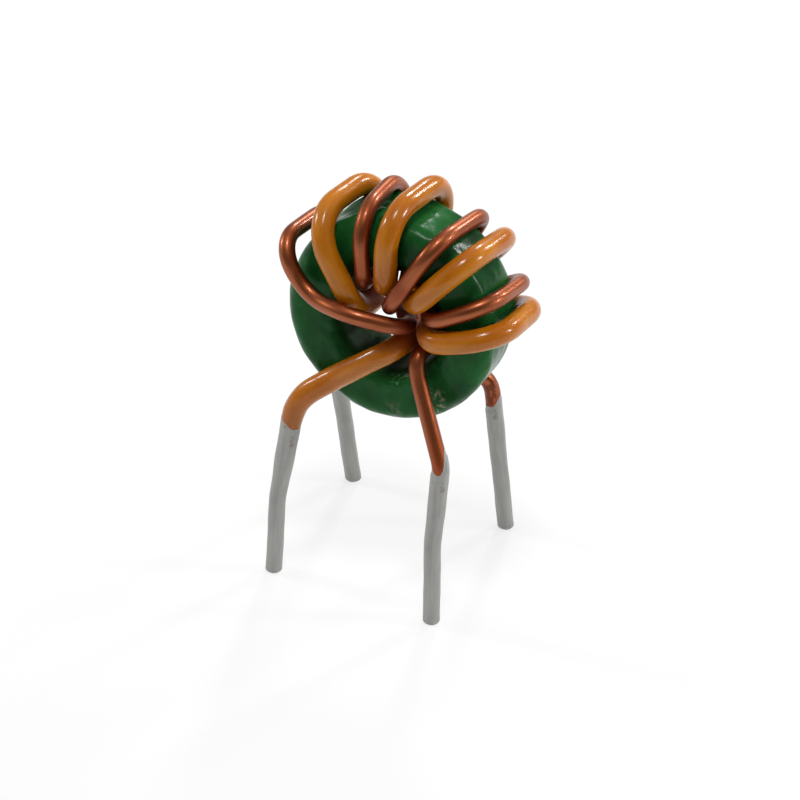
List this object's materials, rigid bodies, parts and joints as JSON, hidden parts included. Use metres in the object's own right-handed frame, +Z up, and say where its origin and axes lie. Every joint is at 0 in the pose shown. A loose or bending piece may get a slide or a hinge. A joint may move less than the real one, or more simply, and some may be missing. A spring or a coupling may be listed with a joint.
{
  "type": "toroidal inductor",
  "caption": "Coated ferrite ring on edge, wound over its upper half with a bare-looking enamelled copper wire and an insulated wire, on solder-dipped through-hole leads.",
  "frame": {"origin": "middle of the four lead tips, on the plane they stand on", "axes": "+Z up, away from the board; +X to the right and -Y towards the viewer of the face the picture shows"},
  "size_m": [0.0109, 0.0082, 0.0186],
  "materials": {
    "green_epoxy": "glossy dark green epoxy over ferrite, slightly mottled",
    "enamelled_copper": "clear red-brown enamel over drawn copper, glossy",
    "orange_insulation": "glossy amber-orange wire insulation",
    "bare_copper": "drawn copper, hidden inside the insulation and the solder",
    "solder": "matte grey dipped solder"
  },
  "bodies": {
    "root": {"toroid_core": "green_epoxy", "copper_wire": "enamelled_copper", "orange_jacket": "orange_insulation", "orange_conductor": "bare_copper", "front_left_tinning": "solder", "front_right_tinning": "solder", "rear_left_tinning": "solder", "rear_right_tinning": "solder"}
  },
  "joints": []
}
